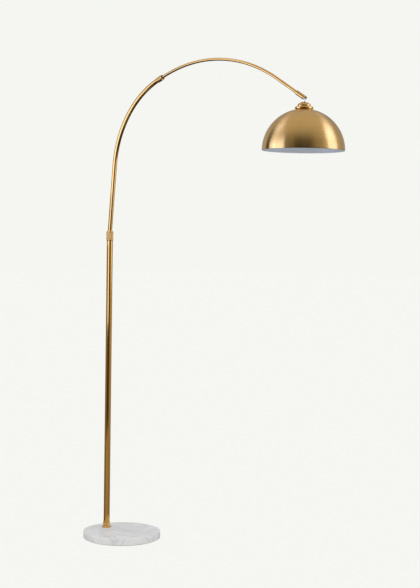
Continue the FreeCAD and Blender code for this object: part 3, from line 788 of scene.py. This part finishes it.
class Bender:
    """Draws a tube along straight runs and bends in the XZ plane, and remembers them."""

    def __init__(self, name, place, climb, radius, sides):
        self.place = Vector(place)
        self.climb = climb
        self.radius = radius
        self.length = 0.0
        self.runs = []
        self.piece = start_ring(name, radius, place, sides, math.pi / 2 - climb)

    def ahead(self):
        return Vector((math.cos(self.climb), 0, math.sin(self.climb)))

    def straight(self, length, steps=1):
        self.runs.append(("straight", self.place.copy(), self.climb, 0.0, self.length, length))
        for step in range(steps):
            move = self.ahead() * (length / steps)
            bpy.ops.mesh.extrude_region_move(TRANSFORM_OT_translate={"value": move})
        self.place = self.place + self.ahead() * length
        self.length += length
        return self

    def bend_down(self, radius, climb, steps):
        turned = self.climb - climb
        centre = self.place + Vector((math.sin(self.climb), 0, -math.cos(self.climb))) * radius
        self.runs.append(("bend", centre, self.climb, radius, self.length, radius * turned))
        bpy.ops.mesh.spin(
            steps=steps, angle=turned, center=centre, axis=(0, -1, 0), use_auto_merge=False)
        self.climb = climb
        self.place = centre + Vector((-math.sin(climb), 0, math.cos(climb))) * radius
        self.length += radius * turned
        return self

    def measure(self, place):
        """Way round, way along and tube radius of the nearest run to a place."""
        best = None
        for kind, spot, climb, bend, before, length in self.runs:
            if kind == "straight":
                ahead = Vector((math.cos(climb), 0, math.sin(climb)))
                along = (place - spot).dot(ahead)
                out = (place - spot).dot(Vector((-math.sin(climb), 0, math.cos(climb))))
            else:
                away = place - spot
                turned = climb + math.pi / 2 - math.atan2(away.z, away.x)
                along = turned * bend
                out = math.hypot(away.x, away.z) - bend
            miss = max(-along, along - length, 0.0)
            if best is None or miss < best[0]:
                best = (miss, math.atan2(place.y, out), before + along)
        return best[1], best[2], self.radius

    def finish(self, wall):
        close_up()
        thicken(self.piece, wall)
        soften(self.piece, mm(0.25))
        lay_grain(self.piece, self.measure)
        smooth(self.piece)
        return self.piece


def lower_tube():
    """Bends the lower tube, and returns the place where the joint starts."""
    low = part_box("lower_arc")[0]
    tube = Bender("lower_arm_tube", (POLE_X, 0, low.z), math.pi / 2, LOWER_RADIUS, 80)
    tube.straight(LEAN_START - low.z, 2)
    tube.bend_down(LEAN_BEND, LEAN_CLIMB, 4)
    tube.straight(LEAN_LENGTH, 6)
    tube.bend_down(LOWER_BEND, JOINT_ANGLE, 72)
    joint = tube.place.copy()
    tube.straight(LOWER_PAST_JOINT)
    piece = tube.finish(LOWER_WALL)
    set_in_place(piece, "arm", "brushed_brass_tube", arc_tube, "lower_arc")
    return joint


def upper_tube(joint):
    ahead = Vector((math.cos(JOINT_ANGLE), 0, math.sin(JOINT_ANGLE)))
    start = joint + ahead * UPPER_START
    tube = Bender("upper_arm_tube", start, JOINT_ANGLE, UPPER_RADIUS, 64)
    tube.straight(UPPER_STRAIGHT)
    tube.bend_down(UPPER_BEND, -DROP_ANGLE, 96)
    tube.straight(DROP_LENGTH, 3)
    piece = tube.finish(UPPER_WALL)
    set_in_place(piece, "arm", "brushed_brass_tube", arc_tube, "upper_arc")


def lay_on_arm(piece, place, climb):
    """Tips a piece that was made along +Z onto the arm, at a place and a climb."""
    pick(piece)
    piece.rotation_euler = (0, math.pi / 2 - climb, 0)
    piece.location = place
    bpy.ops.object.transform_apply(location=True, rotation=True, scale=True)


def arc_collar_grip(joint):
    """The same grip as the pole collar's, smaller, with a ring below its rounded top."""
    radius = mm(9.5)
    over_tube = mm(8.3)
    over_neck = mm(7.35)
    mouth = mm(6.95)
    start = mm(1)
    end = mm(26)
    neck_start = start + mm(12.3)
    mouth_start = end - mm(2.2)
    groove = radius - mm(0.35)
    ring = radius - mm(0.5)
    band_low = start + mm(3.9)
    band_high = end - mm(5.9)
    outline = [(over_tube, start), (ring, start), (radius - mm(0.12), start + mm(0.14))]
    outline += [(radius, start + mm(0.5)), (radius, start + mm(1.6)), (groove, start + mm(1.8))]
    outline += [(groove, start + mm(2.3)), (radius, start + mm(2.5)), (radius, start + mm(3))]
    outline += [(radius, start + mm(3.35))]
    rows = 6
    for row in range(rows + 1):
        outline.append((radius, band_low + (band_high - band_low) * row / rows))
    outline += [(radius, end - mm(5.35)), (radius, end - mm(5)), (radius, end - mm(4.2))]
    outline += [(ring, end - mm(3.9)), (ring, end - mm(3.1))]
    outline += [(radius, end - mm(2.8)), (radius, end - mm(1)), (radius - mm(0.3), end - mm(0.3))]
    outline += [(radius - mm(1), end), (mouth, end), (mouth, mouth_start)]
    outline += [(over_neck, mouth_start), (over_neck, neck_start), (over_tube, neck_start)]
    piece = turn("arc_collar_grip", 0, outline, ARC_COLLAR_FLUTES * POINTS_PER_FLUTE)
    press_flutes(
        piece, 0, radius, ARC_COLLAR_FLUTES, start + mm(3.2), end - mm(5.2), FLUTE_DEPTH,
        ROUND_FLUTE)
    lay_grain(piece, round_axis(0))
    smooth(piece, 40)
    lay_on_arm(piece, joint, JOINT_ANGLE)
    set_in_place(piece, "arc_collar", "brushed_brass", brushed_part, "arc_collar")


# ---------------------------------------------------------------- shade and its cap
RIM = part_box("shade")[0].z
SHADE_RADIUS = (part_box("shade")[1].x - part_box("shade")[0].x) / 2
SHADE_WALL = mm(1)
CAP_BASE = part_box("dome_cap")[0].z
CAP_TOP = CAP_BASE + mm(16)
STEM_HOLE = mm(5.05)


def half_ball(name, radius, hole, wall):
    """The upper half of a ball, open round the stem, with a wall thickened inwards."""
    def round_stem(place):
        return math.hypot(place.x - HEAD_X, place.y) < hole and place.z > RIM

    deselect()
    bpy.ops.mesh.primitive_uv_sphere_add(
        segments=192, ring_count=128, radius=radius, location=(HEAD_X, 0, RIM))
    piece = name_piece(name)
    bpy.ops.object.mode_set(mode="EDIT")
    select_points(piece, lambda place: place.z < RIM - mm(0.5))
    bpy.ops.mesh.delete(type="VERT")
    select_points(piece, round_stem)
    bpy.ops.mesh.delete(type="VERT")
    close_up()
    thicken(piece, wall)
    return piece


def brass_dome():
    piece = half_ball("shade_dome", SHADE_RADIUS, STEM_HOLE, SHADE_WALL)
    soften(piece, mm(0.3))
    smooth(piece)
    set_in_place(piece, "head", "brass_shade", shade_brass, "shade")


def enamel_lining():
    washer_hole = mm(12.3)
    enamel = mm(0.3)
    piece = half_ball("enamel_lining", SHADE_RADIUS - SHADE_WALL, washer_hole, enamel)
    smooth(piece)
    set_in_place(piece, "head", "white_enamel", white_enamel, "shade_lining")


def cap_dome():
    """The small pressed dome: a short side, a round shoulder and a flatter crown."""
    side = mm(21.3)
    shoulder = mm(9)
    wall = mm(1.2)
    mouth = mm(3.7)
    shoulder_x = side - shoulder
    shoulder_z = CAP_BASE + mm(3)
    rise = CAP_TOP - shoulder_z
    crown = (shoulder_x ** 2 + rise ** 2 - shoulder ** 2) / (2 * (rise - shoulder))
    crown_z = CAP_TOP - crown
    split = math.degrees(math.atan2(shoulder_z - crown_z, shoulder_x))

    def skin(inset):
        mouth_angle = math.degrees(math.acos(mouth / (crown - inset)))
        points = [(side - inset, CAP_BASE)]
        points += arc((shoulder_x, shoulder_z), shoulder - inset, 0, split, 12)
        points += arc((0, crown_z), crown - inset, split, mouth_angle, 16)[1:]
        return points

    outline = skin(0) + skin(wall)[::-1]
    piece = turn("cap_dome", HEAD_X, outline, 144)
    soften(piece, mm(0.25))
    lay_grain(piece, round_axis(HEAD_X))
    smooth(piece)
    set_in_place(piece, "head", "brushed_brass", brushed_part, "dome_cap")


def cap_bead():
    """The turned ring with a half-round edge that sits on top of the shade."""
    section = mm(4.8)
    reach = mm(24.7)
    flat_short = mm(3.4)
    centre_z = CAP_BASE - math.sqrt(section ** 2 - flat_short ** 2)
    outline = [(STEM_HOLE, CAP_BASE), (reach - flat_short, CAP_BASE)]
    outline += arc((reach, centre_z), section, 135, -90, 36)
    steps = 8
    for step in range(1, steps + 1):
        radius = reach + (STEM_HOLE - reach) * step / steps
        outline.append((radius, RIM + math.sqrt(SHADE_RADIUS ** 2 - radius ** 2)))
    piece = turn("cap_bead", HEAD_X, outline, 144)
    lay_grain(piece, round_axis(HEAD_X))
    smooth(piece)
    set_in_place(piece, "head", "brass_shade", polished_part, "cap_ring")


# ---------------------------------------------------------------- lampholder and bulb
HOLDER_OUTER = mm(20)
HOLDER_INNER = mm(17.8)
HOLDER_FLUTES = 36


def holder_cap_cone():
    """The lampholder's cap: a boss round the stem, a rounded shoulder and a lapped edge."""
    low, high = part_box("holder_cap")
    boss = mm(9)
    lap = HOLDER_OUTER - mm(0.5)
    waist = high.z - mm(13)
    shoulder_start = (boss + mm(2), high.z - mm(4))
    shoulder_mid = (HOLDER_OUTER - mm(3), waist + mm(3.4))
    shoulder_end = (HOLDER_OUTER, waist - mm(1))
    outline = [(STEM_HOLE, high.z), (boss - mm(0.8), high.z), (boss, high.z - mm(0.8))]
    outline += [(boss, high.z - mm(3)), (boss + mm(1), high.z - mm(3.6))]
    outline += arc_through(shoulder_start, shoulder_mid, shoulder_end, 10)
    outline += [(HOLDER_OUTER, low.z + mm(1.2)), (lap, low.z + mm(0.9)), (lap, low.z)]
    outline += [(HOLDER_INNER, low.z), (HOLDER_INNER, waist - mm(2)), (boss, waist - mm(2))]
    outline += [(boss, waist + mm(3)), (STEM_HOLE, waist + mm(3))]
    piece = turn("holder_cap_cone", HEAD_X, outline, 96)
    smooth(piece)
    set_in_place(piece, "head", "holder_plastic", holder_plastic, "holder_cap")


def holder_skirt():
    """The ribbed skirt of the lampholder, with its rolled mouth."""
    low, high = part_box("holder_body")
    outer = HOLDER_OUTER
    mouth = mm(14.03)
    roll = mm(1.6)
    lip = low.z + mm(3)
    rib_top = high.z - mm(3.5)
    rib_length = mm(25)
    rows = 8
    outline = [(outer - mm(0.4), high.z), (outer, high.z - mm(0.4)), (outer, high.z - mm(3))]
    outline += [(outer, rib_top)]
    for row in range(1, rows):
        outline.append((outer, rib_top - rib_length * row / rows))
    outline += [(outer, low.z + mm(7.5)), (outer, low.z + mm(7))]
    outline += arc((outer - roll, low.z + roll), roll, 0, -90, 6)
    outline += [(mouth + mm(0.5), low.z), (mouth, low.z + mm(0.5)), (mouth, lip)]
    outline += [(HOLDER_INNER, lip), (HOLDER_INNER, high.z)]
    piece = turn("holder_skirt", HEAD_X, outline, HOLDER_FLUTES * POINTS_PER_FLUTE)
    press_flutes(
        piece, HEAD_X, outer, HOLDER_FLUTES, low.z + mm(7.2), high.z - mm(3.2), mm(0.6),
        (1, 0.8, 0.3))
    smooth(piece, 40)
    set_in_place(piece, "head", "holder_plastic", holder_plastic, "holder_body")


def bulb_collar():
    """The bulb's plastic housing, which widens from its neck to the globe."""
    low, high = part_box("bulb_body")
    neck = mm(13.5)
    wide = (high.x - low.x) / 2
    flare_start = (neck + mm(0.2), high.z - mm(2.2))
    flare_mid = (mm(16.6), high.z - mm(8.5))
    flare_end = (wide, low.z + mm(0.4))
    outline = [(0, high.z), (neck, high.z), (neck, high.z - mm(2))]
    outline += arc_through(flare_start, flare_mid, flare_end, 12)
    outline += [(wide, low.z), (0, low.z)]
    piece = turn("bulb_collar", HEAD_X, outline, 96)
    smooth(piece)
    set_in_place(piece, "bulb", "bulb_plastic", bulb_plastic, "bulb_body")


def bulb_ball():
    low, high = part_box("bulb_globe")
    radius = (high.x - low.x) / 2
    centre_z = low.z + radius
    neck_rise = high.z - centre_z
    start = math.degrees(math.asin(neck_rise / radius))
    outline = [(0, high.z)] + arc((0, centre_z), radius, start, -90, 40)
    piece = turn("bulb_ball", HEAD_X, outline, 96)
    smooth(piece)
    set_in_place(piece, "bulb", "opal_globe", opal, "bulb_globe")


# ---------------------------------------------------------------- the pieces, in order
joint_place = lower_tube()
marble_base()
straight_pole()
foot_flange()
pole_collar_grip()
upper_tube(joint_place)
arc_collar_grip(joint_place)
brass_dome()
enamel_lining()
cap_dome()
cap_bead()
holder_cap_cone()
holder_skirt()
bulb_collar()
bulb_ball()

# ---------------------------------------------------------------- carried-over parts
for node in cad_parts.values():
    for slot in node.material_slots:
        slot.material = SLOT_FINISH[slot.material.name.split(".")[0]]

# The rim of this bush shows under the collar, plated to match it.
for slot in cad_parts["pole_top_bush"].material_slots:
    slot.material = yellow_zinc
